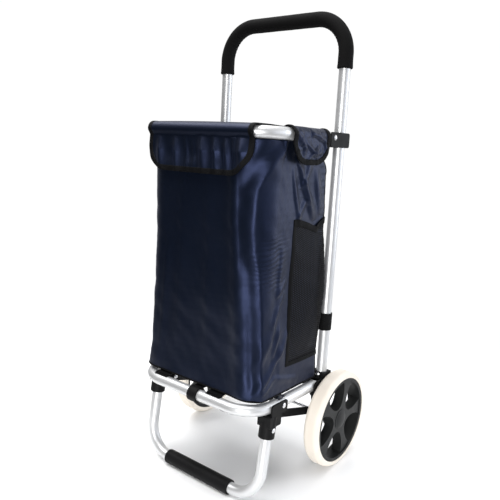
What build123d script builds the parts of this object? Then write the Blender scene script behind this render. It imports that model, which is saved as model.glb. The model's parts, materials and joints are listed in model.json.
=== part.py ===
from build123d import *
import os
from math import sin, cos, tan, radians

os.makedirs("parts", exist_ok=True)

# Folding two-wheeled shopping trolley. All sizes are in millimetres.
#
# The handle, the top frame, the base and the bag lean back together. They are drawn in a leaned
# frame: x to the trolley's right as seen from the front, v forwards from the handle, u up along it.
# A shape in that frame has the coordinates (x, -v, u), and lean() turns it into the part's own
# frame, which is +Z up, front towards -Y, origin on the floor under the middle of the whole.

# ---- Driving dimensions -------------------------------------------------------------------------
lean_deg = 4.83            # how far the handle leans back

tube_r = 11.0              # every frame tube is 22 mm round
tube_wall = 1.2
frame_half = 147.0         # from the centre plane to each side tube's axis

handle_top_u = 722.0       # axis of the handle's top bar
handle_foot_u = -28.0      # lower end of the handle tube, inside the rear bracket
handle_bend_r = 68.0
grip_wall = 3.5            # foam over the handle's top
grip_leg = 27.0            # foam below each bend

top_frame_u = 497.0        # axis of the top frame
top_frame_v = 233.0        # its front bar
top_frame_bend_r = 58.0

base_front_v = 231.0       # axis of the base's front bar
base_bend_r = 58.0
elbow_pivot_v = 152.0      # where the foot hangs from the base's side tubes

foot_bar_v = 200.7         # axis of the foot's bottom bar
foot_bend_r = 58.0
foot_lean_deg = 7.7        # how far the foot's legs slope forwards on their way down
sleeve_wall = 3.5
sleeve_shift_x = -4.0      # the sleeve sits a little off the middle of the bar
sleeve_flat = 0.5          # depth of the flat it rests on

wheel_r = 100.0
tyre_width = 33.0
tyre_height = 12.0         # from the rim to the tread
rim_wall = 7.0
rim_inset = 1.0            # rim's faces, inside the tyre's
spoke_back = 8.0           # spokes reach this far inwards from the wheel's middle plane
spoke_front = 13.0         # and this far outwards
spoke_count = 5
spoke_phase_deg = 70.0
hub_r = 21.0
bush_r = 7.0
cap_height = 3.0
axle_r = 4.0
axle_v = -15.4
axle_u = -75.7

socket_wall = 4.0          # plastic round a tube, front and back
clevis_web = 5.0           # between a bracket's socket and its clevis
cheek_in = 4.0             # a bracket's cheek on the inner side of a tube
rear_cheek_out = 3.3       # cheeks on the outer side, beside the wheel
top_cheek_out = 3.0
axle_boss_r = 13.0

strut_thick = 3.0
strut_width = 16.0

pin_r = 3.0
rivet_head_r = 5.0
rivet_head_h = 2.0
running_gap = 0.05         # shafts in their holes
side_gap = 0.3             # tubes between a bracket's cheeks
swing_gap = 0.6            # round a part that turns
strut_gap = 1.7            # between a strut and its elbow
wheel_gap = 1.4            # between a rear bracket and its wheel

bag_clear_u = 5.0          # bag's floor over the base tubes
bag_taper = 6.0            # how much narrower the bag is at the bottom, each side
bag_corner_r = 32.0
bag_wall = 2.0
hem_inset = 20.0           # rear hem's ends, inside the handle tubes' axes
board_thick = 2.5

lid_inset = 22.0           # lid's side edges, inside the top frame's axes
lid_thick = 1.8
lid_gap = 0.6              # between the lid and the tube it lies on
lid_drop = 77.0            # flap in front, below the top frame's axis
lid_corner_r = 48.0

ear_gap = 0.35             # fabric ears round the top frame's side tubes
ear_thick = 1.5
ear_drop_out = 44.0        # below the top frame's axis, outside and inside the tube
ear_drop_in = 16.0
ear_corner_r = 24.0

pocket_low_u = 67.0
pocket_high_u = 345.0
pocket_rear_v = 48.0
pocket_front_v = 133.0
pocket_bulge = 11.0
pocket_thick = 1.2
pocket_gap = 0.4

strap_low_u = 112.0        # hook-and-loop strap round the handle tube
strap_high_u = 148.0
strap_gap = 0.2
strap_thick = 1.4
strap_tab_v = 24.0         # how far its tab reaches forwards

slat_thick = 2.0
slat_width = 34.0
slat_xs = (-86.0, 54.0)    # two slats from front to back, under the bag
slat_rear_v = 60.0
strip_v = 150.0            # cross strip that carries the slats, in front of the folded struts
strip_width = 24.0
strip_thick = 1.5
hook_x = 9.0
hook_width = 21.0
hook_thick = 4.0
hook_gap = 0.2

# ---- Worked out from these ----------------------------------------------------------------------
lean_sin = sin(radians(lean_deg))
lean_cos = cos(radians(lean_deg))
tube_in_r = tube_r - tube_wall
tube_in_x = frame_half - tube_r
tube_out_x = frame_half + tube_r
cut_in_x = frame_half - 40                    # holes across a side run from here
cut_out_x = frame_half + 50                   # to here

bracket_wall_v = tube_r + socket_wall
clevis_start_v = bracket_wall_v + clevis_web
base_pivot_v = clevis_start_v + tube_r + 3.0
top_pivot_v = clevis_start_v + tube_r + 7.0
bracket_in_x = tube_in_x - cheek_in
rear_bracket_out_x = tube_out_x + rear_cheek_out
top_bracket_out_x = tube_out_x + top_cheek_out
top_bracket_low_u = top_frame_u - tube_r - 7.0
top_bracket_high_u = top_frame_u + 10.0
top_bracket_nose_v = top_pivot_v + 15.0
top_rivet_u = top_frame_u - 4.0               # top bracket's fixing
ear_r = tube_r + 2.0                          # rear bracket's ears round the base pivot
rear_rivet_u = tube_r + 7.4                   # rear bracket's fixing
rear_bracket_top_u = rear_rivet_u + rivet_head_r + 0.1

grip_r = tube_r + grip_wall
grip_end_u = handle_top_u - handle_bend_r - grip_leg

elbow_in_x = tube_in_x - 3.8
elbow_out_x = tube_out_x + 3.6
elbow_socket_r = tube_r + 4.4
elbow_socket_low_u = -tube_r - 46.0
foot_top_u = -tube_r - 6.0                    # upper ends of the legs, inside the elbow sockets
socket_rivet_u = elbow_socket_low_u + 17.0
socket_rivet_x = frame_half + elbow_socket_r - 1.0      # its head sits on a small spot face
strut_pivot_v = elbow_pivot_v - 3.0           # front end of the strut
strut_pivot_u = -tube_r - 19.0
strut_in_x = elbow_in_x - strut_gap - strut_thick

sleeve_r = tube_r + sleeve_wall
sleeve_half = frame_half - foot_bend_r - abs(sleeve_shift_x)

tyre_seat_r = wheel_r - tyre_height
wheel_inner_x = rear_bracket_out_x + wheel_gap

bag_low_u = tube_r + bag_clear_u
bag_high_u = top_bracket_low_u - 1.0
bag_half_high = frame_half
bag_half_low = bag_half_high - bag_taper
bag_rear_low_v = tube_r + 16.0
bag_rear_high_v = top_bracket_nose_v + 1.5
bag_front_low_v = base_front_v - 14.0
bag_front_high_v = top_frame_v + 5.0
hem_half = frame_half - hem_inset

lid_half = frame_half - lid_inset
lid_rear_v = top_bracket_nose_v
lid_drop_u = top_frame_u - lid_drop
ear_rear_v = top_bracket_nose_v + 5.5
ear_front_v = top_frame_v - top_frame_bend_r - 10.0
ear_low_u = top_frame_u - ear_drop_out
ear_inner_low_u = top_frame_u - ear_drop_in

base_z = wheel_r - (axle_v * lean_sin + axle_u * lean_cos)      # height of v = 0, u = 0
axle_y_raw = -axle_v * lean_cos + axle_u * lean_sin
rear_y = axle_y_raw + wheel_r
front_y = -base_front_v * lean_cos - (tube_r + hook_gap + hook_thick)
origin_y = -(rear_y + front_y) / 2
axle_y = axle_y_raw + origin_y

foot_bar_z = sleeve_r - sleeve_flat
foot_bar_u = (foot_bar_z - base_z - foot_bar_v * lean_sin) / lean_cos
foot_slope = tan(radians(foot_lean_deg))


def leg_v(u):
    """Where the foot's leg axis stands, at height u."""
    return foot_bar_v - (u - foot_bar_u) * foot_slope


# ---- Helpers ------------------------------------------------------------------------------------
def lean(shape):
    return Location((0, origin_y, base_z), (-lean_deg, 0, 0)) * shape


def block(x0, x1, v0, v1, u0, u1):
    return Pos((x0 + x1) / 2, -(v0 + v1) / 2, (u0 + u1) / 2) * Box(x1 - x0, v1 - v0, u1 - u0)


def rod_x(r, x0, x1, v, u):
    return Pos((x0 + x1) / 2, -v, u) * Rot(0, 90, 0) * Cylinder(r, x1 - x0)


def rod_v(r, v0, v1, x, u):
    return Pos(x, -(v0 + v1) / 2, u) * Rot(90, 0, 0) * Cylinder(r, v1 - v0)


def side_plate(outline, x0, x1):
    """Extrude an outline drawn in (v, u) from x0 to x1."""
    plane = Plane(origin=(x1, 0, 0), x_dir=(0, -1, 0), z_dir=(-1, 0, 0))
    return extrude(plane * outline, amount=x1 - x0)


def front_plate(outline, v0, v1):
    """Extrude an outline drawn in (x, u) from v0 forwards to v1."""
    plane = Plane(origin=(0, -v0, 0), x_dir=(1, 0, 0), z_dir=(0, -1, 0))
    return extrude(plane * outline, amount=v1 - v0)


def rounded(x0, x1, y0, y1, r):
    return Pos((x0 + x1) / 2, (y0 + y1) / 2) * RectangleRounded(x1 - x0, y1 - y0, r)


def rect(x0, x1, y0, y1):
    return Pos((x0 + x1) / 2, (y0 + y1) / 2) * Rectangle(x1 - x0, y1 - y0)


def link(a, b, r):
    """Rounded bar outline from point a to point b."""
    edges = (Pos(*a) * Circle(r)).edges() + (Pos(*b) * Circle(r)).edges()
    return make_hull(edges)


def bent_tube(points, bend_r, outer_r, inner_r):
    path = FilletPolyline(*points, radius=bend_r)
    ring = Circle(outer_r) - Circle(inner_r)
    return sweep(Plane(origin=path @ 0, z_dir=path % 0) * ring, path=path)


def dome(r, height):
    """Low domed rivet head standing on z = 0."""
    ball_r = (r * r + height * height) / (2 * height)
    ball = Pos(0, 0, height - ball_r) * Sphere(ball_r)
    return ball & (Pos(0, 0, height / 2) * Box(3 * r, 3 * r, height))


def rivet_x(x0, x1, v, u, head_in=True, head_out=True):
    """Rivet along x, its heads standing on the planes x0 and x1."""
    body = rod_x(pin_r, x0, x1, v, u)
    if head_out:
        body += Pos(x1, -v, u) * Rot(0, 90, 0) * dome(rivet_head_r, rivet_head_h)
    if head_in:
        body += Pos(x0, -v, u) * Rot(0, -90, 0) * dome(rivet_head_r, rivet_head_h)
    return body


def rivet_v(v0, v1, x, u):
    body = rod_v(pin_r, v0, v1, x, u)
    body += Pos(x, -v0, u) * Rot(-90, 0, 0) * dome(rivet_head_r, rivet_head_h)
    body += Pos(x, -v1, u) * Rot(90, 0, 0) * dome(rivet_head_r, rivet_head_h)
    return body


def group(*shapes):
    """Separate solids that share one node."""
    return Compound([solid for shape in shapes for solid in shape.solids()])


def both(shape):
    """The shape and its mirror image on the trolley's other side."""
    return group(shape, mirror(shape, about=Plane.YZ))


def put(node, shape):
    export_step(shape, f"parts/{node}.step")


def put_pair(name, shape, leaned=True):
    """One node on each side; right is +X."""
    left = mirror(shape, about=Plane.YZ)
    put(f"{name}_right", lean(shape) if leaned else shape)
    put(f"{name}_left", lean(left) if leaned else left)


# ---- Handle -------------------------------------------------------------------------------------
def handle_points(low_u):
    h = frame_half
    return [(-h, 0, low_u), (-h, 0, handle_top_u), (h, 0, handle_top_u), (h, 0, low_u)]


def handle_tube():
    tube = bent_tube(handle_points(handle_foot_u), handle_bend_r, tube_r, tube_in_r)
    for side in (-1, 1):
        for u in (rear_rivet_u, top_rivet_u):
            tube -= rod_v(pin_r + running_gap, -2 * tube_r, 2 * tube_r, side * frame_half, u)
    return tube


def handle_grip():
    return bent_tube(handle_points(grip_end_u), handle_bend_r, grip_r, tube_r + running_gap)


# ---- Brackets on the handle ---------------------------------------------------------------------
def rear_bracket():
    """Holds the handle's lower end, the base's pivot and the axle."""
    wall = bracket_wall_v
    outline = rounded(-wall, wall, handle_foot_u - socket_wall, rear_bracket_top_u, 2)
    outline += link((0, handle_foot_u + 6), (axle_v, axle_u), axle_boss_r)
    outline += link((0, 0), (base_pivot_v, 0), ear_r)
    body = side_plate(outline, bracket_in_x, rear_bracket_out_x)
    cut_top_u = rear_bracket_top_u + 20
    bore = Cylinder(tube_r + running_gap, cut_top_u - handle_foot_u)
    body -= Pos(frame_half, 0, (handle_foot_u + cut_top_u) / 2) * bore
    slot_floor = -(tube_r + swing_gap)
    body -= block(tube_in_x - side_gap, tube_out_x + side_gap, clevis_start_v,
                  base_pivot_v + 3 * tube_r, slot_floor, cut_top_u)
    body -= rod_x(axle_r + running_gap, cut_in_x, cut_out_x, axle_v, axle_u)
    body -= rod_x(pin_r + running_gap, cut_in_x, cut_out_x, base_pivot_v, 0)
    body -= rod_v(pin_r + running_gap, -2 * bracket_wall_v, 2 * bracket_wall_v, frame_half,
                  rear_rivet_u)
    return body


def top_bracket():
    """Clip on the handle tube that carries the top frame's pivot and its stop."""
    outline = rounded(-bracket_wall_v, top_bracket_nose_v, top_bracket_low_u, top_bracket_high_u, 5)
    body = side_plate(outline, bracket_in_x, top_bracket_out_x)
    mid_u = (top_bracket_low_u + top_bracket_high_u) / 2
    height = top_bracket_high_u - top_bracket_low_u
    body -= Pos(frame_half, 0, mid_u) * Cylinder(tube_r + running_gap, 2 * height)
    slot_floor = top_frame_u - tube_r - swing_gap
    body -= block(tube_in_x - side_gap, tube_out_x + side_gap, clevis_start_v,
                  top_bracket_nose_v + 20, slot_floor, top_bracket_high_u + 20)
    body -= rod_x(pin_r + running_gap, cut_in_x, cut_out_x, top_pivot_v, top_frame_u)
    body -= rod_v(pin_r + running_gap, -2 * bracket_wall_v, 2 * bracket_wall_v, frame_half,
                  top_rivet_u)
    return body


def handle_rivets():
    low = rivet_v(-bracket_wall_v, bracket_wall_v, frame_half, rear_rivet_u)
    high = rivet_v(-bracket_wall_v, clevis_start_v, frame_half, top_rivet_u)
    return both(group(low, high))


# ---- Folding frames: top frame and base ---------------------------------------------------------
def folding_u(pivot_v, front_v, level_u, bend_r):
    """U tube whose rear ends are rounded about their pivots."""
    h = frame_half
    rear = -(pivot_v - tube_r)
    points = [(-h, rear, level_u), (-h, -front_v, level_u), (h, -front_v, level_u), (h, rear, level_u)]
    tube = bent_tube(points, bend_r, tube_r, tube_in_r)
    for side in (-1, 1):
        x0, x1 = side * h - 20, side * h + 20
        end = block(x0, x1, pivot_v - 30, pivot_v, level_u - 20, level_u + 20)
        tube -= end - rod_x(tube_r, x0 - 1, x1 + 1, pivot_v, level_u)
        tube -= rod_x(pin_r + running_gap, x0, x1, pivot_v, level_u)
    return tube


def end_plugs(pivot_v, level_u):
    """Plastic plugs in a U tube's rear ends, bored for the pivot."""
    plug = rod_v(tube_in_r - running_gap, pivot_v - tube_r, pivot_v + 14, frame_half, level_u)
    x0, x1 = frame_half - 20, frame_half + 20
    end = block(x0, x1, pivot_v - 30, pivot_v, level_u - 20, level_u + 20)
    plug -= end - rod_x(tube_r - 1, x0 - 1, x1 + 1, pivot_v, level_u)
    plug -= rod_x(pin_r + running_gap, x0, x1, pivot_v, level_u)
    return both(plug)


def pivot_pins(pivot_v, level_u, out_x, heads):
    return both(rivet_x(bracket_in_x, out_x, pivot_v, level_u, head_in=heads, head_out=heads))


def base_tube():
    tube = folding_u(base_pivot_v, base_front_v, 0, base_bend_r)
    for side in (-1, 1):
        tube -= rod_x(pin_r + running_gap, side * frame_half - 20, side * frame_half + 20,
                      elbow_pivot_v, 0)
        tube -= Pos(side * frame_half, -strip_v, tube_r) * Cylinder(pin_r + running_gap, 2 * tube_r)
    return tube


def cross_strip():
    """Metal strip across the base's side tubes; the slats lie on it and on the front bar."""
    half = tube_out_x - 3
    strip = block(-half, half, strip_v - strip_width / 2, strip_v + strip_width / 2,
                  tube_r, tube_r + strip_thick)
    for side in (-1, 1):
        strip -= Pos(side * frame_half, -strip_v, tube_r) * Cylinder(pin_r + running_gap, tube_r)
    return strip


def strip_rivets():
    """Blind rivets that hold the cross strip on the side tubes."""
    rivets = []
    for side in (-1, 1):
        at = Pos(side * frame_half, -strip_v, tube_r + strip_thick)
        rivets.append(at * (dome(rivet_head_r, 1.2) + Pos(0, 0, -2.5) * Cylinder(pin_r, 5)))
    return group(*rivets)


def bag_slats():
    """Two black slats over the cross strip and the front bar, which keep the bag off the tubes."""
    low = tube_r + strip_thick
    slats = []
    for x in slat_xs:
        slat = block(x - slat_width / 2, x + slat_width / 2, slat_rear_v, base_front_v,
                     low, low + slat_thick)
        slat += block(x - slat_width / 2, x + slat_width / 2, base_front_v - 6, base_front_v + 4,
                      tube_r + running_gap, low)
        slats.append(slat)
    return group(*slats)


def base_hook():
    """Hook that clips over the base's front bar and holds the bag's lower edge."""
    inner = tube_r + hook_gap
    outer = inner + hook_thick
    ring = Circle(outer) - Circle(inner)
    gap = Polyline((0, 0), (-60, 12), (-60, -60), (8, -60), (0, 0))
    outline = Pos(base_front_v, 0) * (ring - make_face(gap))
    neck = rect(base_front_v - 32, base_front_v + 1, inner, inner + 2.4)
    return side_plate(outline + neck, hook_x - hook_width / 2, hook_x + hook_width / 2)


# ---- Foot ---------------------------------------------------------------------------------------
def foot_points():
    h = frame_half
    top = (-leg_v(foot_top_u), foot_top_u)
    low = (-foot_bar_v, foot_bar_u)
    return [(-h, *top), (-h, *low), (h, *low), (h, *top)]


def foot_tube():
    tube = bent_tube(foot_points(), foot_bend_r, tube_r, tube_in_r)
    for side in (-1, 1):
        tube -= rod_x(pin_r + running_gap, side * frame_half - 20, side * frame_half + 20,
                      leg_v(socket_rivet_u), socket_rivet_u)
    return tube


def foot_sleeve():
    """Plastic sleeve on the foot's bar, with a flat that rests on the floor."""
    x0, x1 = sleeve_shift_x - sleeve_half, sleeve_shift_x + sleeve_half
    sleeve = rod_x(sleeve_r, x0, x1, foot_bar_v, foot_bar_u)
    sleeve = fillet(sleeve.edges(), 2)
    sleeve -= rod_x(tube_r + running_gap, x0 - 1, x1 + 1, foot_bar_v, foot_bar_u)
    return lean(sleeve) & Pos(0, 0, 250) * Box(900, 900, 500)


def elbow():
    """Black elbow: clevis on the base's side tube above, socket for the foot's leg below."""
    nose = rounded(elbow_pivot_v - 11, leg_v(-8) + 12, -tube_r - 1.5, tube_r - 1.0, 5)
    body = side_plate(nose, tube_out_x + side_gap, elbow_out_x)
    neck_low_u = -tube_r - 23
    lug = link((elbow_pivot_v, 0), (strut_pivot_v, strut_pivot_u), 9)
    lug += rect(elbow_pivot_v, elbow_pivot_v + 18, neck_low_u, -tube_r - 1)
    body += side_plate(lug, elbow_in_x, tube_in_x - side_gap)
    neck_rear_v = elbow_pivot_v + tube_r + swing_gap
    neck_front_v = leg_v(foot_top_u - 3) + elbow_socket_r
    cap = rounded(neck_rear_v - 4, neck_front_v, neck_low_u, -tube_r - swing_gap, 3)
    body += side_plate(cap, elbow_in_x, elbow_out_x)
    top, low = -tube_r - swing_gap - 3, elbow_socket_low_u
    slant = Rot(-foot_lean_deg, 0, 0)
    socket = Cylinder(elbow_socket_r, top - low)
    socket = fillet(socket.edges().sort_by(Axis.Z)[0], 1.5)
    body += Pos(frame_half, -leg_v((top + low) / 2), (top + low) / 2) * slant * socket
    bore_top = foot_top_u + 0.4
    bore = Cylinder(tube_r + running_gap, bore_top - low + 20)
    bore_mid = (bore_top + low - 20) / 2
    body -= Pos(frame_half, -leg_v(bore_mid), bore_mid) * slant * bore
    x0, x1 = tube_in_x - side_gap, tube_out_x + side_gap
    body -= block(x0, x1, elbow_pivot_v - 60, neck_rear_v, 2 * low, tube_r + 5)
    body -= rod_x(pin_r + running_gap, cut_in_x, cut_out_x, elbow_pivot_v, 0)
    rivet_at = (leg_v(socket_rivet_u), socket_rivet_u)
    body -= rod_x(pin_r + running_gap, cut_in_x, cut_out_x, *rivet_at)
    body -= rod_x(rivet_head_r + 0.3, socket_rivet_x, cut_out_x, *rivet_at)
    return body


def elbow_pins():
    return both(rivet_x(elbow_in_x, elbow_out_x, elbow_pivot_v, 0, head_in=False))


def socket_rivets():
    x0 = frame_half - elbow_socket_r + 1.0
    return both(rivet_x(x0, socket_rivet_x, leg_v(socket_rivet_u), socket_rivet_u, head_in=False))


# ---- Struts from the axle to the elbows ---------------------------------------------------------
def strut():
    outline = link((axle_v, axle_u), (strut_pivot_v, strut_pivot_u), strut_width / 2)
    bar = side_plate(outline, strut_in_x, strut_in_x + strut_thick)
    bar -= rod_x(axle_r + running_gap, cut_in_x, frame_half, axle_v, axle_u)
    return bar - rod_x(pin_r, cut_in_x, frame_half, strut_pivot_v, strut_pivot_u)


def strut_pins():
    """Pins in the struts' front ends; each stops just short of its elbow."""
    end_x = elbow_in_x - swing_gap
    return both(rivet_x(strut_in_x, end_x, strut_pivot_v, strut_pivot_u, head_out=False))


# ---- Axle and wheels, drawn upright -------------------------------------------------------------
wheel_mid_x = wheel_inner_x + tyre_width / 2
rim_half = tyre_width / 2 - rim_inset
hub_in_x = wheel_inner_x + 0.3
hub_out_x = wheel_mid_x + rim_half - 1.5
axle_end_x = hub_out_x - 1.0
at_axle = Pos(0, axle_y, wheel_r)


def wheel_ring(outer_r, inner_r, x0, x1):
    ring = Circle(outer_r) - Circle(inner_r)
    return extrude(Plane(origin=(x0, 0, 0), x_dir=(0, 1, 0), z_dir=(1, 0, 0)) * ring, amount=x1 - x0)


def tyre():
    ring = wheel_ring(wheel_r, tyre_seat_r, wheel_inner_x, wheel_inner_x + tyre_width)
    outer = ring.edges().filter_by(GeomType.CIRCLE).group_by(lambda e: round(e.radius))[-1]
    return at_axle * fillet(outer, 9)


def window(turn_deg):
    """Opening between two spokes: rounded beside the hub, its sides bowed round the spokes."""
    rim_r = tyre_seat_r - rim_wall
    half = [(rim_r, 23), (0.76 * rim_r, 27), (0.56 * rim_r, 26.5), (0.39 * rim_r, 18), (0.335 * rim_r, 0)]
    turns = half + [(r, -a) for r, a in reversed(half[:-1])]

    def at(r, angle):
        a = radians(turn_deg + angle)
        return (r * cos(a), r * sin(a))

    side = Spline(*[at(r, a) for r, a in turns])
    arc = ThreePointArc(at(rim_r, -23), at(rim_r, 0), at(rim_r, 23))
    return make_face([side, arc])


def rim():
    body = wheel_ring(tyre_seat_r - running_gap, tyre_seat_r - rim_wall,
                      wheel_mid_x - rim_half, wheel_mid_x + rim_half)
    disc = Circle(tyre_seat_r - rim_wall / 2)
    pitch = 360 / spoke_count
    for i in range(spoke_count):
        disc -= window(spoke_phase_deg + (i + 0.5) * pitch)
    plane = Plane(origin=(wheel_mid_x - spoke_back, 0, 0), x_dir=(0, 1, 0), z_dir=(1, 0, 0))
    body += extrude(plane * disc, amount=spoke_back + spoke_front)
    body += wheel_ring(hub_r, bush_r, hub_in_x, hub_out_x)
    return at_axle * (body - rod_x(bush_r, hub_in_x - 1, hub_out_x + 1, 0, 0))


def bush():
    return at_axle * wheel_ring(bush_r - running_gap, axle_r + running_gap, hub_in_x, axle_end_x)


def hub_cap():
    """Round cap over the axle's end."""
    cap = Pos(hub_out_x, 0, 0) * Rot(0, 90, 0) * dome(hub_r - 2, cap_height)
    return at_axle * cap


def axle():
    return at_axle * Rot(0, 90, 0) * Cylinder(axle_r, 2 * axle_end_x)


def axle_washers():
    """Push-on washers that keep the struts, the brackets and the wheels in place."""
    outer = wheel_ring(9, axle_r, rear_bracket_out_x + 0.1, wheel_inner_x - 0.1)
    strut_out_x = strut_in_x + strut_thick
    middle = wheel_ring(8, axle_r, strut_out_x + 0.2, bracket_in_x - 0.1)
    inner = wheel_ring(8, axle_r, strut_in_x - 3.2, strut_in_x - 0.2)
    return both(group(*[at_axle * washer for washer in (outer, middle, inner)]))


# ---- Bag and its fabric pieces, as plain solids -------------------------------------------------
def bag_section(u, inset):
    """Rounded outline of the bag at height u."""
    t = (u - bag_low_u) / (bag_high_u - bag_low_u)
    half = bag_half_low + (bag_half_high - bag_half_low) * t - inset
    rear = bag_rear_low_v + (bag_rear_high_v - bag_rear_low_v) * t + inset
    front = bag_front_low_v + (bag_front_high_v - bag_front_low_v) * t - inset
    outline = RectangleRounded(2 * half, front - rear, bag_corner_r - inset)
    return Pos(0, -(rear + front) / 2, u) * outline


def bag_shell():
    """Tapered shell, open at the top, with a hem at the back up to the lid."""
    outer = loft([bag_section(bag_low_u, 0), bag_section(bag_high_u, 0)])
    inner = loft([bag_section(bag_low_u + bag_wall, bag_wall),
                  bag_section(bag_high_u + 1, bag_wall)])
    shell = outer - inner
    hem_top = top_frame_u + tube_r
    hem = block(-hem_half, hem_half, bag_rear_high_v, bag_rear_high_v + bag_wall,
                bag_high_u - 1, hem_top)
    return shell + hem


def floor_board():
    """Stiff board in the bottom of the bag."""
    low = bag_low_u + bag_wall + 0.3
    outline = bag_section(low, bag_wall + 3)
    return extrude(outline, amount=board_thick, dir=(0, 0, 1))


def mesh_pocket():
    """Bulging pocket on the bag's right side, open at the top."""
    def crescent(u, depth_out, depth_in):
        t = (u - bag_low_u) / (bag_high_u - bag_low_u)
        x = bag_half_low + (bag_half_high - bag_half_low) * t + pocket_gap
        mid = -(pocket_rear_v + pocket_front_v) / 2
        rear, front = (x, -pocket_rear_v, u), (x, -pocket_front_v, u)
        outer = ThreePointArc(rear, (x + depth_out, mid, u), front)
        inset = 2.0
        inner = ThreePointArc((x, -pocket_front_v + inset, u), (x + depth_in, mid, u),
                              (x, -pocket_rear_v - inset, u))
        ends = [Line(front, (x, -pocket_front_v + inset, u)), Line((x, -pocket_rear_v - inset, u), rear)]
        return make_face([outer, ends[0], inner, ends[1]])

    deep = pocket_bulge
    wall = loft([crescent(pocket_low_u, deep, deep - pocket_thick),
                 crescent(pocket_high_u, deep, deep - pocket_thick)])
    floor_u = pocket_low_u
    t = (floor_u - bag_low_u) / (bag_high_u - bag_low_u)
    x = bag_half_low + (bag_half_high - bag_half_low) * t + pocket_gap
    mid = -(pocket_rear_v + pocket_front_v) / 2
    arc = ThreePointArc((x, -pocket_rear_v, floor_u), (x + deep, mid, floor_u),
                        (x, -pocket_front_v, floor_u))
    chord = Line((x, -pocket_front_v, floor_u), (x, -pocket_rear_v, floor_u))
    return wall + extrude(make_face([arc, chord]), amount=pocket_thick, dir=(0, 0, 1))


def handle_strap():
    """Strap sewn to the bag's rear corner and closed round the handle tube."""
    inner = tube_r + strap_gap
    ring = Circle(inner + strap_thick) - Circle(inner)
    tab = rect(-inner - strap_thick, -inner, -strap_tab_v, 0)
    outline = Pos(frame_half, 0) * (ring + tab)
    return Pos(0, 0, strap_low_u) * extrude(outline, amount=strap_high_u - strap_low_u)


def side_ear():
    """Fabric folded over the top frame's side tube."""
    inner = tube_r + ear_gap
    outer = inner + ear_thick
    arch = (Circle(outer) - Circle(inner)) & rect(-2 * outer, 2 * outer, 0, 2 * outer)
    outline = Pos(frame_half, top_frame_u) * (
        arch + rect(inner, outer, -ear_drop_out, 0.5) + rect(-outer, -inner, -ear_drop_in, 0.5))
    body = front_plate(outline, ear_rear_v, ear_front_v)
    high_u = top_frame_u + tube_r + 10
    shape = rounded(ear_rear_v, ear_front_v, ear_low_u, high_u + ear_corner_r, ear_corner_r)
    return body & side_plate(shape, cut_in_x, cut_out_x)


def lid():
    """Top panel hinged at the back, with a flap that hangs over the front bar."""
    inner = tube_r + lid_gap
    outer = inner + lid_thick
    bend = (Circle(outer) - Circle(inner)) & rect(0, 2 * outer, 0, 2 * outer)
    outline = Pos(top_frame_v, top_frame_u) * bend
    outline += rect(lid_rear_v, top_frame_v + 0.1, top_frame_u + inner, top_frame_u + outer)
    outline += rect(top_frame_v + inner, top_frame_v + outer, lid_drop_u, top_frame_u + 0.1)
    body = side_plate(outline, -lid_half, lid_half)
    shape = rounded(-lid_half, lid_half, lid_drop_u, top_frame_u + 120, lid_corner_r)
    return body & front_plate(shape, 0, 2 * top_frame_v)


# ---- Write every node ---------------------------------------------------------------------------
put("handle_tube", lean(handle_tube()))
put("handle_grip", lean(handle_grip()))
put_pair("rear_bracket", rear_bracket())
put_pair("top_bracket", top_bracket())
put("handle_rivets", lean(handle_rivets()))
put("base_pivot_pins", lean(pivot_pins(base_pivot_v, 0, rear_bracket_out_x, False)))
put("top_pivot_rivets", lean(pivot_pins(top_pivot_v, top_frame_u, top_bracket_out_x, True)))

put("top_frame_tube", lean(folding_u(top_pivot_v, top_frame_v, top_frame_u, top_frame_bend_r)))
put("top_frame_plugs", lean(end_plugs(top_pivot_v, top_frame_u)))

put("base_tube", lean(base_tube()))
put("base_plugs", lean(end_plugs(base_pivot_v, 0)))
put("base_cross_strip", lean(cross_strip()))
put("strip_rivets", lean(strip_rivets()))
put("bag_slats", lean(bag_slats()))
put("base_hook", lean(base_hook()))

put("foot_tube", lean(foot_tube()))
put("foot_sleeve", foot_sleeve())
put_pair("elbow", elbow())
put("elbow_pins", lean(elbow_pins()))
put("socket_rivets", lean(socket_rivets()))

put_pair("strut", strut())
put("strut_pins", lean(strut_pins()))

put("axle", axle())
put("axle_washers", axle_washers())
put_pair("tyre", tyre(), leaned=False)
put_pair("rim", rim(), leaned=False)
put_pair("wheel_bush", bush(), leaned=False)
put_pair("hub_cap", hub_cap(), leaned=False)

put("bag_shell", lean(bag_shell()))
put("bag_floor_board", lean(floor_board()))
put("mesh_pocket", lean(mesh_pocket()))
put_pair("handle_strap", handle_strap())
put_pair("side_ear", side_ear())
put("lid", lean(lid()))
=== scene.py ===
# %% [markdown]
# # A folding shopping trolley
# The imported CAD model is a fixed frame: tubes, brackets, wheels and pins are already the right size and
# stay where they are. What is made here is everything soft (bag, lid, ears, net pocket, straps, foam
# grip), the finishes of all pieces, and the studio round them.

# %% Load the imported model
import json

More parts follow.
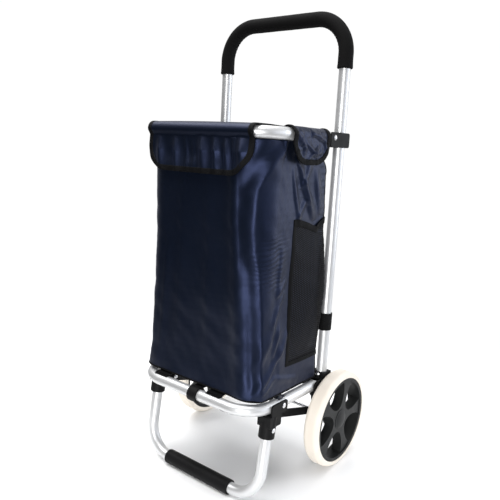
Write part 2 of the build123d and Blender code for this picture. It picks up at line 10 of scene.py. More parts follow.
import bmesh
import bpy
import numpy as np
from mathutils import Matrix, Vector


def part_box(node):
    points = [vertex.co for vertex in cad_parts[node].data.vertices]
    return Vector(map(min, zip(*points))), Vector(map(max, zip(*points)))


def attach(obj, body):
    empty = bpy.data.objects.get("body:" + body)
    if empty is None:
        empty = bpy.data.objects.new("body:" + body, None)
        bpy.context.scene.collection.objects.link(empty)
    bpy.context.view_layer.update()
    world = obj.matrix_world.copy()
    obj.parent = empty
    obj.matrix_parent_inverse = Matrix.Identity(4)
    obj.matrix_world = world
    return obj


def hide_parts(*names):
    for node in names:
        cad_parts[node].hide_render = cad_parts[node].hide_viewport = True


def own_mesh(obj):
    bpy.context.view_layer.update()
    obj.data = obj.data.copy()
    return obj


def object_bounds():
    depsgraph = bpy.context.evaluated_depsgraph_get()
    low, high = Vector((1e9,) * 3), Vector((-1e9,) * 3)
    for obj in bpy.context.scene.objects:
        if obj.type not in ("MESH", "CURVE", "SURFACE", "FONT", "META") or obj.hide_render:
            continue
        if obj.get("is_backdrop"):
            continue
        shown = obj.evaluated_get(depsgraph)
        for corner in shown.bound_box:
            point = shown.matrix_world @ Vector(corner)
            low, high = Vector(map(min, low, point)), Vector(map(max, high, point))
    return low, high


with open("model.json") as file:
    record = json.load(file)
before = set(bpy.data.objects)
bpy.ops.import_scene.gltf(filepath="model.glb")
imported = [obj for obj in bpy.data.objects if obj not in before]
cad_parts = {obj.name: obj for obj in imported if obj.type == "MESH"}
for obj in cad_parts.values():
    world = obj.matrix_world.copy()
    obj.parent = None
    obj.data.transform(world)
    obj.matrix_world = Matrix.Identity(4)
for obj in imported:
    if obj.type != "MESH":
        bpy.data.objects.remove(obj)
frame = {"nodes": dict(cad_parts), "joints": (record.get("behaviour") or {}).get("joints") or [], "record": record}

CAD_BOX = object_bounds()
JOINTS = {joint["name"]: joint for joint in frame["joints"]}

# %% [markdown]
# ## The leaned drawing
# The handle, the frames and the bag lean back together, so they are easiest to draw in axes that lean
# too: x to the right, v forwards from the handle, u up along it, in millimetres. Two pivots that the
# CAD model knows in both drawings give the lean's angle and the place of its origin, and one function
# turns any array of drawn points into the model's metres.

# %% From the leaned drawing to the model, and back
MM = 0.001
BASE_PIVOT = np.array([34.0, 0.0])          # (v, u) of the two folding pivots
TOP_PIVOT = np.array([38.0, 497.0])
low_pivot = np.array(JOINTS["base_fold"]["pos_m"]) / MM
high_pivot = np.array(JOINTS["top_fold"]["pos_m"]) / MM
rise = high_pivot - low_pivot
LEAN = np.arctan2(rise[1], rise[2]) + np.arctan2(*(TOP_PIVOT - BASE_PIVOT))
SIN, COS = np.sin(LEAN), np.cos(LEAN)
ORIGIN = np.array([0, low_pivot[1] + BASE_PIVOT[0] * COS, low_pivot[2] - BASE_PIVOT[0] * SIN])


def lean(points):
    """Drawn (x, v, u) in mm to the model's (x, y, z) in m: turned by the lean, then moved."""
    x, v, u = np.moveaxis(np.asarray(points, float), -1, 0)
    return (np.stack([x, u * SIN - v * COS, v * SIN + u * COS], axis=-1) + ORIGIN) * MM


def drawn_box(node):
    """Lowest and highest drawn (x, v, u) of a CAD node: its points, moved back and turned back."""
    mesh = frame["nodes"][node].data
    flat = np.empty(len(mesh.vertices) * 3)
    mesh.vertices.foreach_get("co", flat)
    x, y, z = (flat.reshape(-1, 3) / MM - ORIGIN).T
    drawn = np.stack([x, z * SIN - y * COS, z * COS + y * SIN])
    return drawn.min(axis=1), drawn.max(axis=1)


def stack(x, v, u):
    """Separate coordinates, broadcast against each other, as one array of points."""
    return np.stack(np.broadcast_arrays(x, v, u), axis=-1)


BAG_LOW, BAG_HIGH = drawn_box("bag_shell")
LID_LOW, LID_HIGH = drawn_box("lid")
EAR_LOW, EAR_HIGH = drawn_box("side_ear_right")
POCKET_LOW, POCKET_HIGH = drawn_box("mesh_pocket")
STRAP_LOW, STRAP_HIGH = drawn_box("handle_strap_right")
GRIP_LOW, GRIP_HIGH = drawn_box("handle_grip")
BOARD_LOW, BOARD_HIGH = drawn_box("bag_floor_board")
FRAME_LOW, FRAME_HIGH = drawn_box("top_frame_tube")
TUBE_R = (FRAME_HIGH[2] - FRAME_LOW[2]) / 2
TUBE_X = FRAME_HIGH[0] - TUBE_R
TOP_U = (FRAME_HIGH[2] + FRAME_LOW[2]) / 2
print(f"lean {np.degrees(LEAN):.2f} degrees, tubes {2 * TUBE_R:.1f} mm, side tubes at {TUBE_X:.1f} mm")

# %% [markdown]
# ## The camera
# It stands to the trolley's right front, a little above it, and is placed from the wheels' axle, so it
# follows the model. A normal lens with no shift keeps the tubes' perspective natural.

# %% Camera
AXLE = np.array(JOINTS["wheel_right_spin"]["pos_m"])
camera = bpy.data.objects.new("camera", bpy.data.cameras.new("camera"))
bpy.context.scene.collection.objects.link(camera)
bpy.context.scene.camera = camera
camera.location = (0.71835, AXLE[1] - 0.96042, AXLE[2] + 0.62584)
camera.rotation_euler = np.radians([76.28, 0, 38.61])
camera.data.sensor_width = 36
camera.data.lens = 41.35
print("camera at", [round(c, 3) for c in camera.location])

# %% [markdown]
# ## Meshes from arrays
# Almost every soft piece is a sheet that bends: rows and columns of points worked out by a formula.
# One function turns such a grid into a mesh with quads, gives it a UV map in metres (so a weave keeps
# its real pitch) and merges any row that has shrunk to a point, which closes poles.

# %% Grid to mesh
def link(name, mesh):
    piece = bpy.data.objects.new(name, mesh)
    bpy.context.scene.collection.objects.link(piece)
    return piece


def grid_mesh(name, points, cloth=None, around=False, along=False, flip=False):
    """Quads between neighbouring points of a (rows, columns, 3) grid in metres. around joins the last
    column to the first and along the last row to the first. cloth is the (rows, columns, 2) place of
    each point on the flat cloth, in mm, with one more row or column where the grid is joined."""
    rows, columns = points.shape[:2]
    r, c = np.meshgrid(np.arange(rows if along else rows - 1),
                       np.arange(columns if around else columns - 1), indexing="ij")
    steps = [(0, 0), (0, 1), (1, 1), (1, 0)]
    if flip:
        steps = steps[::-1]
    corners = [((r + i) % rows) * columns + (c + j) % columns for i, j in steps]
    mesh = bpy.data.meshes.new(name)
    mesh.from_pydata(points.reshape(-1, 3).tolist(), [], np.stack(corners, -1).reshape(-1, 4).tolist())
    if cloth is not None:
        width = cloth.shape[1]
        places = [(r + i) * width + c + j for i, j in steps]
        uv = cloth.reshape(-1, 2)[np.stack(places, -1).ravel()] * MM
        mesh.uv_layers.new(name="cloth").data.foreach_set("uv", uv.astype(np.float32).ravel())
    return tidy_mesh(mesh)


def tidy_mesh(mesh):
    """Merge points that coincide, as at a pole, and shade smooth."""
    edit = bmesh.new()
    edit.from_mesh(mesh)
    bmesh.ops.remove_doubles(edit, verts=edit.verts, dist=1e-7)
    edit.to_mesh(mesh)
    edit.free()
    mesh.shade_smooth()
    return mesh


def unit(vectors):
    return vectors / np.maximum(np.linalg.norm(vectors, axis=-1, keepdims=True), 1e-12)


# %% [markdown]
# ## Swept profiles
# Bindings, pipings, straps and seams are one profile carried along an edge. The edge and a second line a
# few millimetres inside it span the profile's width, so a tape follows a rippled edge exactly.

# %% Tapes, pipings and stitches
def running_lengths(points):
    """How far along the line each point lies, in the points' own unit."""
    return np.concatenate([[0], np.cumsum(np.linalg.norm(np.diff(points, axis=0), axis=1))])


def sweep(name, points, lengths, girth, closed=False):
    """A profile's points at each step of a line, in drawn mm, as a mesh whose open ends shrink to their
    middles. lengths run along the line and girth round the profile, on the flat cloth."""
    if not closed:
        middle = points.mean(axis=1, keepdims=True)
        ends = [np.repeat(middle[i][None], points.shape[1], 1) for i in (0, -1)]
        points = np.concatenate([ends[0], points, ends[1]])
        lengths = np.concatenate([lengths[:1], lengths, lengths[-1:]])
    cloth = stack(lengths[:, None], girth[None], 0)[..., :2]
    return link(name, outwards(grid_mesh(name, lean(points), cloth, around=True, along=closed)))


def tape(name, edge, inside, thick, overhang=1.2, sides=12):
    """Binding tape folded over an edge: a flat oval loop, from overhang mm outside the edge to the
    inside line, thick mm deep, at each point of the edge. Ends are closed. Lines are drawn mm."""
    across = inside - edge
    width = np.linalg.norm(across, axis=1, keepdims=True)
    along = unit(np.gradient(edge, axis=0))
    normal = unit(np.cross(along, across))
    a = np.linspace(0, 2 * np.pi, sides, endpoint=False)
    oval_x = 0.5 - 0.5 * np.sign(np.cos(a)) * np.abs(np.cos(a)) ** 0.5
    oval_y = 0.5 * np.sign(np.sin(a)) * np.abs(np.sin(a)) ** 0.5
    reach = oval_x[None, :, None] * (width + overhang)[:, None] - overhang
    points = (edge[:, None] + unit(across)[:, None] * reach
              + normal[:, None] * (thick * oval_y)[None, :, None])
    return sweep(name, points[:, ::-1], running_lengths(edge),
                 np.linspace(0, 2 * (width.mean() + thick), sides + 1))


def outwards(mesh):
    """Turn a closed mesh's faces outwards."""
    edit = bmesh.new()
    edit.from_mesh(mesh)
    bmesh.ops.recalc_face_normals(edit, faces=edit.faces)
    edit.to_mesh(mesh)
    edit.free()
    return mesh


def piping(name, line, radius, sides=10, closed=False):
    """Round cord sewn in a seam: circles of the radius across the line. Drawn mm."""
    if closed:
        along = unit(np.roll(line, -1, axis=0) - np.roll(line, 1, axis=0))
    else:
        along = unit(np.gradient(line, axis=0))
    guide = np.where(np.abs(along[:, 2:]) > 0.7, np.array([[1.0, 0, 0]]), np.array([[0, 0, 1.0]]))
    first = unit(np.cross(along, guide))
    second = np.cross(along, first)
    a = np.linspace(0, 2 * np.pi, sides, endpoint=False)[None, :, None]
    points = line[:, None] + radius * (np.cos(a) * first[:, None] + np.sin(a) * second[:, None])
    lengths = running_lengths(line)
    if closed:
        lengths = np.append(lengths, lengths[-1] + np.linalg.norm(line[0] - line[-1]))
    return sweep(name, points, lengths, np.linspace(0, 2 * np.pi * radius, sides + 1), closed)


def resampled(line, pitch):
    """Points every pitch mm along a line, worked out on its own length."""
    lengths = running_lengths(line)
    at = np.arange(pitch / 2, lengths[-1], pitch)
    return np.stack([np.interp(at, lengths, line[:, i]) for i in range(3)], axis=-1)


def stitches(name, line, normals, pitch=3.6, thread=0.45, rings=5, sides=6):
    """A sewn row: one small spindle for each stitch, 0.7 of the pitch long, half sunk in the cloth."""
    at = resampled(line, pitch)
    normal = unit(np.stack([np.interp(running_lengths(at), running_lengths(line), normals[:, i])
                            for i in range(3)], axis=-1))
    along = unit(np.gradient(at, axis=0))
    side = unit(np.cross(along, normal))
    a = np.linspace(0, np.pi, rings)[None, :, None, None]
    b = np.linspace(0, 2 * np.pi, sides, endpoint=False)[None, None, :, None]
    place, along, side, normal = (k[:, None, None] for k in (at, along, side, normal))
    points = (place - 0.35 * pitch * np.cos(a) * along
              + thread * np.sin(a) * (np.cos(b) * side + np.sin(b) * normal))
    count = len(at)
    r, c = np.meshgrid(np.arange(rings - 1), np.arange(sides), indexing="ij")
    one = np.stack([r * sides + c, (r + 1) * sides + c, (r + 1) * sides + (c + 1) % sides,
                    r * sides + (c + 1) % sides], -1).reshape(-1, 4)
    quads = (one[None] + (np.arange(count) * rings * sides)[:, None, None]).reshape(-1, 4)
    mesh = bpy.data.meshes.new(name)
    mesh.from_pydata(lean(points).reshape(-1, 3).tolist(), [], quads.tolist())
    return link(name, outwards(tidy_mesh(mesh)))


# %% [markdown]
# ## Cloth that isn't flat
# A bag is made of cut panels that hang from the frame: it bellies, it has a few long tension folds that
# start where it is held, and small puckers along its seams. A cloth simulation could find them, but the
# folds of this bag are few and known, so each is put in one by one as a ridge along a line, with one
# flank steeper than the other as in real coated cloth, over a slow unevenness made of sine waves.

# %% Folds and unevenness
def waves(a, b, longest, count, seed):
    """Smooth unevenness between about -1 and 1: sine waves in drawn directions, each shorter and lower."""
    draw = np.random.default_rng(seed)
    total, weight = 0, 0
    for i in range(count):
        turn, phase = draw.uniform(0, 2 * np.pi, 2)
        share = 0.78 ** i
        total = total + share * np.sin(2 * np.pi * (a * np.cos(turn) + b * np.sin(turn))
                                       / (longest * share) + phase)
        weight += share ** 2
    return total / (2 * weight) ** 0.5


def fold(a, b, start, end, width, height):
    """A ridge from start to end on the flat cloth: a bell curve across it, half as wide on one side,
    that rises from one end and dies out at the other."""
    line = np.subtract(end, start)
    length = np.hypot(*line)
    along = ((a - start[0]) * line[0] + (b - start[1]) * line[1]) / length ** 2
    across = ((a - start[0]) * line[1] - (b - start[1]) * line[0]) / length
    bell = np.exp(-(across / np.where(across > 0, width, 0.5 * width)) ** 2)
    return height * bell * np.sin(np.pi * np.clip(along, 0, 1)) ** 0.7


def eased(x, stops, values):
    """Values at the stops, joined by smooth steps."""
    i = np.clip(np.searchsorted(stops, x, side="right") - 1, 0, len(stops) - 2)
    stops, values = np.asarray(stops, float), np.asarray(values, float)
    t = np.clip((x - stops[i]) / (stops[i + 1] - stops[i]), 0, 1)
    return values[i] + (values[i + 1] - values[i]) * t * t * (3 - 2 * t)


# %% [markdown]
# ## Finishes
# A finish is a node tree. Writing node maths as Python expressions keeps it readable: a Wire holds a
# socket, and adding, multiplying or taking a sine of wires adds the Math nodes that do it.

# %% Node maths and the finish builder
class Wire:
    """A number that varies over a surface; the usual operators add Math nodes."""

    def __init__(self, tree, socket):
        self.tree, self.socket = tree, socket

    def math(self, operation, *values):
        node = self.tree.nodes.new("ShaderNodeMath")
        node.operation = operation
        for slot, value in zip(node.inputs, values):
            if isinstance(value, Wire):
                self.tree.links.new(value.socket, slot)
            else:
                slot.default_value = value
        return Wire(self.tree, node.outputs[0])

    def __add__(self, other):
        return self.math("ADD", self, other)

    def __sub__(self, other):
        return self.math("SUBTRACT", self, other)

    def __rsub__(self, other):
        return self.math("SUBTRACT", other, self)

    def __mul__(self, other):
        return self.math("MULTIPLY", self, other)

    __radd__ = __add__
    __rmul__ = __mul__

    def sine(self):
        return self.math("SINE", self)

    def size(self):
        return self.math("ABSOLUTE", self)

    def above(self, limit):
        return self.math("GREATER_THAN", self, limit)

    def between(self, low, high):
        """0 below low, 1 above high, straight in between."""
        node = self.tree.nodes.new("ShaderNodeMapRange")
        node.inputs["From Min"].default_value = low
        node.inputs["From Max"].default_value = high
        self.tree.links.new(self.socket, node.inputs["Value"])
        return Wire(self.tree, node.outputs["Result"])


class Nodes:
    """A node tree that is written by calling methods."""

    def __init__(self, tree):
        self.tree = tree

    def node(self, kind, settings=None, **inputs):
        """Any node: its settings first, then the values or wires of its sockets."""
        made = self.tree.nodes.new(kind)
        for key, value in (settings or {}).items():
            setattr(made, key, value)
        for key, value in inputs.items():
            self.feed(made.inputs[key.replace("_", " ")], value)
        return made

    def feed(self, socket, value):
        if isinstance(value, Wire):
            value = value.socket
        if isinstance(value, bpy.types.NodeSocket):
            self.tree.links.new(value, socket)
        else:
            socket.default_value = value

    def place(self):
        """Object coordinates, in metres."""
        return self.node("ShaderNodeTexCoord").outputs["Object"]

    def axes(self, source):
        split = self.node("ShaderNodeSeparateXYZ", Vector=source)
        return [Wire(self.tree, out) for out in split.outputs]

    def cloth(self):
        """The flat cloth's own two coordinates, in metres."""
        return self.axes(self.node("ShaderNodeUVMap", {"uv_map": "cloth"}).outputs["UV"])[:2]

    def noise(self, scale, detail=2.0, roughness=0.5, where=None):
        made = self.node("ShaderNodeTexNoise", Vector=where or self.place(), Scale=scale,
                         Detail=detail, Roughness=roughness)
        return Wire(self.tree, made.outputs["Fac"])

    def mix(self, dark, light, share):
        """A colour between two, by a wire's share."""
        made = self.node("ShaderNodeMix", {"data_type": "RGBA"})
        self.feed(made.inputs[0], share)
        for socket, value in ((made.inputs[6], dark), (made.inputs[7], light)):
            self.feed(socket, value if isinstance(value, bpy.types.NodeSocket) else (*value, 1))
        return made.outputs[2]


class Finish(Nodes):
    """One material: constants go on the Principled shader's own sockets, varying values come from nodes."""

    def __init__(self, name, **constants):
        self.material = bpy.data.materials.new(name)
        self.material.use_nodes = True
        super().__init__(self.material.node_tree)
        self.shader = self.tree.nodes["Principled BSDF"]
        for socket, value in constants.items():
            self.shader.inputs[socket.replace("_", " ")].default_value = value

    def colour(self, dark, light, share):
        self.feed(self.shader.inputs["Base Color"], self.mix(dark, light, share))
        return self

    def set(self, socket, value):
        self.feed(self.shader.inputs[socket], value)
        return self

    def bump(self, height, distance, strength=1.0):
        """Height 0 to 1 stands for distance in metres."""
        made = self.node("ShaderNodeBump", Height=height, Distance=distance, Strength=strength)
        self.feed(self.shader.inputs["Normal"], made.outputs["Normal"])
        return self


def ribs(wire, pitch):
    """A wave from 0 to 1 with the pitch, in metres."""
    return (wire * (2 * np.pi / pitch)).sine() * 0.5 + 0.5


# %% [markdown]
# ### Navy nylon
# The bag is coated nylon: an even plain weave with a satin skin. The diffuse colour is very dark, and
# the blue shows where light grazes it, so a little sheen and a blue tint on the reflection carry the look.
# Weave comes as bump at its real pitch, and the threads' uneven dye as a slight variation of colour.

# %% Cloth finishes
def navy_nylon():
    made = Finish("navy_nylon", Specular_IOR_Level=0.40, Specular_Tint=(0.38, 0.48, 1.0, 1),
                  Sheen_Weight=0.03, Sheen_Roughness=0.35, Sheen_Tint=(0.30, 0.36, 1.0, 1))
    a, b = made.cloth()
    weave = ribs(a, 0.0011) * ribs(b, 0.0011)
    cloud = made.noise(9.0, 3.0)
    made.colour((0.0014, 0.0026, 0.0056), (0.0032, 0.0054, 0.0110), cloud * 0.75 + weave * 0.25)
    made.set("Roughness", made.noise(14.0, 2.0) * 0.14 + 0.34)
    slub = made.noise(160.0, 2.0)
    return made.bump(weave * 0.6 + slub * 0.8, 0.00018, 0.35).material


def ribbed_tape():
    made = Finish("black_binding", Specular_IOR_Level=0.08)
    along, _ = made.cloth()
    rib = ribs(along, 0.0016)
    made.colour((0.0015, 0.0015, 0.002), (0.005, 0.005, 0.0056), rib)
    made.set("Roughness", made.noise(120.0) * 0.2 + 0.5)
    return made.bump(rib, 0.0003, 0.8).material


def strap_webbing():
    made = Finish("black_webbing", Specular_IOR_Level=0.10)
    along, across = made.cloth()
    weave = ribs(along + across, 0.0022) * ribs(along - across, 0.0022)
    made.colour((0.002, 0.002, 0.0023), (0.009, 0.009, 0.0095), weave)
    made.set("Roughness", made.noise(90.0) * 0.15 + 0.6)
    return made.bump(weave, 0.0004, 0.9).material


NET_PITCH = 0.0042


def net_cloth():
    """Knitted net: three cosines 60 degrees apart add up to a peak at each point of a triangular
    grid, and a round hole is cut there with Alpha."""
    made = Finish("black_mesh", Specular_IOR_Level=0.08)
    a, b = made.cloth()
    turns = 2 * np.pi / (0.866 * NET_PITCH)
    peak = sum((turns * (a * across + b * up) + 0.5 * np.pi).sine()
               for across, up in ((1.0, 0.0), (0.5, 0.866), (-0.5, 0.866)))
    thread = peak.between(0.4, -1.4)
    made.colour((0.0018, 0.0018, 0.0022), (0.009, 0.009, 0.010), thread)
    made.set("Roughness", thread * 0.2 + 0.42)
    made.set("Alpha", 1 - peak.above(0.45))
    return made.material


def sewing_thread():
    made = Finish("sewing_thread")
    made.colour((0.006, 0.007, 0.012), (0.02, 0.022, 0.04), made.noise(700.0))
    return made.set("Roughness", made.noise(300.0) * 0.2 + 0.5).material


NAVY, BINDING, WEBBING = navy_nylon(), ribbed_tape(), strap_webbing()
NET, THREAD = net_cloth(), sewing_thread()
print("cloth finishes:", NAVY.name, BINDING.name, WEBBING.name, NET.name, THREAD.name)


# %% [markdown]
# ### Metal, plastic, foam and rubber
# Drawn aluminium is bright and nearly smooth with faint patches and a fine grain; moulded plastic has a
# fine grain; the foam grip is matt with tiny cells; the tyres are cream foam rubber with a mould line.

# %% Hard finishes
def bright_tube():
    made = Finish("aluminium_tube", Metallic=0.62, Specular_IOR_Level=0.5)
    patch = made.noise(22.0, 3.0)
    made.colour((0.60, 0.605, 0.61), (0.70, 0.705, 0.71), patch)
    made.set("Roughness", made.noise(60.0, 3.0) * 0.10 + 0.34)
    return made.bump(made.noise(900.0, 1.0), 0.00003, 0.5).material


def plated_metal():
    made = Finish("plated_steel", Metallic=1.0)
    made.colour((0.62, 0.62, 0.63), (0.78, 0.78, 0.79), made.noise(90.0))
    return made.set("Roughness", made.noise(150.0) * 0.15 + 0.2).material


def moulded(name, dark, light, rough, grain=1100.0, depth=0.00006):
    """Moulded plastic or coated steel: dark colour, faint mottling and a fine grain."""
    made = Finish(name, Specular_IOR_Level=0.14)
    made.colour(dark, light, made.noise(35.0, 3.0))
    made.set("Roughness", made.noise(60.0, 2.0) * 0.14 + rough)
    return made.bump(made.noise(grain, 2.0), depth, 0.6).material


def foam():
    made = Finish("grip_foam", Specular_IOR_Level=0.10)
    cells = made.noise(1400.0, 2.0)
    made.colour((0.0022, 0.0021, 0.0022), (0.0065, 0.0062, 0.0064), cells)
    made.set("Roughness", made.noise(40.0) * 0.12 + 0.74)
    return made.bump(cells, 0.00025, 0.7).material


TYRE_MIDDLE = sum(corner[0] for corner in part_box("tyre_right")) / 2


def cream_rubber():
    """The mould line is a thin ridge on the tyre's middle plane, found from the distance to it."""
    made = Finish("cream_tyre", Specular_IOR_Level=0.35)
    x, _, _ = made.axes(made.place())
    off_middle = (x.size() - TYRE_MIDDLE).size()
    line = 1 - off_middle.between(0.0002, 0.0008)
    made.colour((0.75, 0.68, 0.59), (0.81, 0.75, 0.67), made.noise(26.0, 4.0))
    made.set("Roughness", made.noise(80.0, 2.0) * 0.15 + 0.5)
    return made.bump(line * 0.8 + made.noise(900.0) * 0.2, 0.0003, 0.6).material


FINISH_OF = {
    "aluminium_tube": bright_tube(),
    "plated_steel": plated_metal(),
    "grip_foam": foam(),
    "black_plastic": moulded("black_plastic", (0.0025, 0.0025, 0.0028), (0.006, 0.006, 0.0066), 0.5),
    "wheel_plastic": moulded("wheel_plastic", (0.009, 0.0095, 0.0095), (0.017, 0.018, 0.018), 0.38),
    "bush_nylon": moulded("bush_nylon", (0.55, 0.55, 0.52), (0.62, 0.62, 0.6), 0.4),
    "black_steel": moulded("black_steel", (0.003, 0.003, 0.0035), (0.007, 0.007, 0.0075), 0.5, 2200.0),
    "cream_tyre": cream_rubber(),
    "navy_nylon": NAVY,
    "black_binding": BINDING,
    "base_board": moulded("base_board", (0.022, 0.022, 0.024), (0.034, 0.034, 0.036), 0.6),
    "black_mesh": NET,
    "black_webbing": WEBBING,
}
for part in frame["record"]["subparts"]:
    node = frame["nodes"][part["node"]]
    node.data.materials.clear()
    node.data.materials.append(FINISH_OF[part["material_slot"]])
print(len(FINISH_OF), "finishes on", len(frame["nodes"]), "CAD nodes")


# %% [markdown]
# ## Putting a piece in place
# Each new piece rides on a CAD body, takes one of the finishes, and may stand for a plain CAD solid,
# which it hides. When the base folds up it presses the bag against the handle; the pieces that go with
# the base only get meshes of their own here, and are not squashed.

# %% Settle a piece on its body
CLOTH_THICK = 1.1        # coated nylon with its lining, mm
SQUASH_V = 13.0          # just in front of the handle tubes
LID_LIFT = 2.4           # how much further forwards the folded lid lies, on the bag


def settle(piece, finish, body, stands_for=(), fold_with=None, lift=0.0):
    piece.data.materials.append(finish)
    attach(piece, body)
    if stands_for:
        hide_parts(*stands_for)
    if fold_with:
        anchor = lean([0, SQUASH_V + lift, TOP_U / 2])
        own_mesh(piece)
    print(piece.name, len(piece.data.polygons), "faces")
    return piece


def thicken(piece, thickness, offset=-1.0):
    """Give a sheet its thickness, inwards from the drawn face."""
    wall = piece.modifiers.new("thickness", "SOLIDIFY")
    wall.thickness = thickness * MM
    wall.offset = offset
    wall.use_even_offset = False
    return piece


# %% [markdown]
# ## The bag
# Four panels and a floor, sewn into one open shell. Seen from above it is a rounded rectangle whose
# size changes with height: it hangs straight from the top frame, is drawn in a little at its waist and
# is spread at the bottom by the board inside. The walls are one grid, round the outline and up the
# height. The outline is a rectangle's corner points plus an arc about each, so it is given by three
# numbers that run round it: which side of the middle, left-right and front-rear, and the arc's angle.

# %% Bag outline
REAR_CORNER, FRONT_CORNER_LOW, FRONT_CORNER_HIGH = 9.0, 30.0, 54.0
BAG_FLOOR_U = BAG_LOW[2]
RIM_U = FRAME_LOW[2] - 0.8                     # just under the top frame's tubes
HEM_TOP_U = BAG_HIGH[2]
HEM_HALF = 120.0
# panel edges round the bag, as lengths on the cloth from the rear panel's middle
SIDE_STARTS = np.array([0, 132, 155, 290, 340, 564, 614, 749, 772, 904.0])
SIDE_X = np.array([0, 1, 1, 1, 1, -1, -1, -1, -1, 0.0])
SIDE_V = np.array([-1, -1, -1, 1, 1, 1, 1, -1, -1, -1.0])
SIDE_TURN = np.radians([-90, -90, 0, 0, 90, 90, 180, 180, 270, 270])
ROUND = SIDE_STARTS[-1]


def bag_size(u):
    """Half widths on the right and on the left, rear and front of the bag at height u."""
    stops = [BAG_FLOOR_U, 75, 250, 400, RIM_U]
    right = eased(u, stops, [147.5, 144, 141.5, 143, 146])
    left = eased(u, stops, [151, 143.5, 139, 141, 146])
    rear = BAG_LOW[1] + eased(u, [BAG_FLOOR_U, 190, 345, 430, 472], [-4.0, -4.5, -2.5, 5, 30])
    front = eased(u, stops, [221, 219, 226, 233, 236.5])
    return right, left, rear, front


def bag_folds(s, u):
    """How far the cloth stands out from the plain shell, in mm, at length s round it and height u."""
    height = (u - BAG_FLOOR_U) / (RIM_U - BAG_FLOOR_U)
    out = 1.3 * waves(s, u, 210, 5, 3) * np.sin(np.pi * np.clip(height, 0, 1)) ** 0.5
    out = out + 0.35 * waves(s, u, 46, 6, 8)
    middle_front = 0.5 * (SIDE_STARTS[4] + SIDE_STARTS[5])
    # the front panel: hollow between its edges, with long soft folds down from the frame
    across = (s - middle_front) / 112.0
    out = out - 2.6 * np.clip(1 - across ** 2, 0, 1) * np.sin(np.pi * height)
    for start, end, width, rise in (
            ((424, 430), (432, 60), 22, 2.2),
            ((500, 440), (512, 90), 24, 2.0), ((548, 300), (562, 14), 12, 2.6),
            # soft swellings behind the front corner's long crease on the right
            ((262, 300), (268, 190), 13, 2.6), ((262, 150), (250, 40), 15, 2.4),
            # creases on the right side, from the ear's lower edge and from the lower corner
            ((226, 458), (190, 372), 7, 5.0), ((186, 452), (214, 400), 6, 4.2),
            ((208, 420), (178, 340), 8, 5.4), ((240, 440), (212, 330), 7, 3.6),
            ((176, 440), (164, 350), 7, 4.2), ((196, 384), (222, 346), 5, 3.4),
            ((328, 22), (236, 118), 8, 5.0), ((318, 74), (262, 190), 11, 3.6),
            ((332, 18), (262, 56), 6, 3.0), ((280, 92), (254, 158), 7, 3.4),
            ((292, 150), (246, 214), 8, 3.2), ((276, 206), (240, 236), 7, 2.8),
            ((196, 34), (276, 56), 7, 3.0), ((252, 96), (230, 140), 6, 2.6),
            # the left side, much the same
            ((636, 470), (600, 320), 11, 4.2), ((590, 200), (584, 16), 10, 3.6),
            ((690, 450), (716, 350), 6, 2.8), ((660, 440), (690, 330), 6, 2.4),
            ((600, 20), (668, 120), 8, 2.8), ((650, 260), (700, 210), 9, 1.8),
            # the rear panel
            ((40, 470), (60, 250), 16, 2.2), ((860, 460), (844, 240), 18, 2.2),
            ((100, 200), (60, 30), 14, 2.0), ((820, 180), (850, 40), 14, 2.0)):
        out = out + fold(s, u, start, end, width, rise)
    # one long crease wanders down the front corner on the right, sharp at its crest
    line = np.interp(u, [16, 90, 180, 250, 290, 330, 400, 450, 486],
                     [304, 308, 308, 312, 320, 322, 318, 300, 276])
    off = s - line
    out = out + 4.6 * np.exp(-np.abs(off) / np.where(off > 0, 8, 7)) * (0.7 + 0.3 * np.sin(u / 60))
    out = out - 3.6 * np.exp(-((off - 17) / 10) ** 2) + 4.6 * np.exp(-((s - 350) / 17) ** 2)
    # fine wrinkles across the front corner, where the cloth is pushed together
    bunched = np.exp(-((s - 284) / 30) ** 2) * np.exp(-((u - 268) / 46) ** 4)
    out = out + 0.6 * bunched * np.sin(2 * np.pi * (u + 0.2 * s + 3 * waves(s, u, 60, 2, 5)) / 8.5)
    # puckers down the corner seams and along the bottom seam
    for seam in (SIDE_STARTS[2], SIDE_STARTS[7]):
        out = out + 0.35 * np.exp(-((s - seam) / 9) ** 2) * np.sin(2 * np.pi * u / 13)
    out = out + 0.4 * np.exp(-(u - BAG_FLOOR_U) / 9) * np.sin(2 * np.pi * s / 17)
    return out * np.clip((u - BAG_FLOOR_U) / 6, 0, 1)


def bag_points(s, u, shrink=1.0, proud=0.0):
    """The bag's outer face at length s round it and height u: a corner of the inner rectangle, plus the
    corner's radius and the folds along the outward direction. shrink draws it towards the middle."""
    right, left, rear, front = bag_size(u)
    side_x, side_v = np.interp(s, SIDE_STARTS, SIDE_X), np.interp(s, SIDE_STARTS, SIDE_V)
    turn = np.interp(s, SIDE_STARTS, SIDE_TURN)
    share = np.clip((u - BAG_FLOOR_U) / (RIM_U - BAG_FLOOR_U), 0, 1)
    front_r = FRONT_CORNER_LOW + (FRONT_CORNER_HIGH - FRONT_CORNER_LOW) * share
    radius = REAR_CORNER + (front_r - REAR_CORNER) * (side_v + 1) / 2
    half = np.where(side_x > 0, right, left)
    deep, middle = (front - rear) / 2, (front + rear) / 2
    out = radius + bag_folds(s, u) * shrink + proud
    x = side_x * (half - radius) + out * np.cos(turn)
    v = side_v * (deep - radius) + out * np.sin(turn)
    return stack(x * shrink, middle + v * shrink, u)


def rim_height(s):
    """The rim: under the tubes at the front and sides, up to the lid's hinge at the back."""
    from_middle = np.minimum(s, ROUND - s)
    return eased(from_middle, [0, HEM_HALF, HEM_HALF + 9, ROUND], [HEM_TOP_U, HEM_TOP_U, RIM_U, RIM_U])


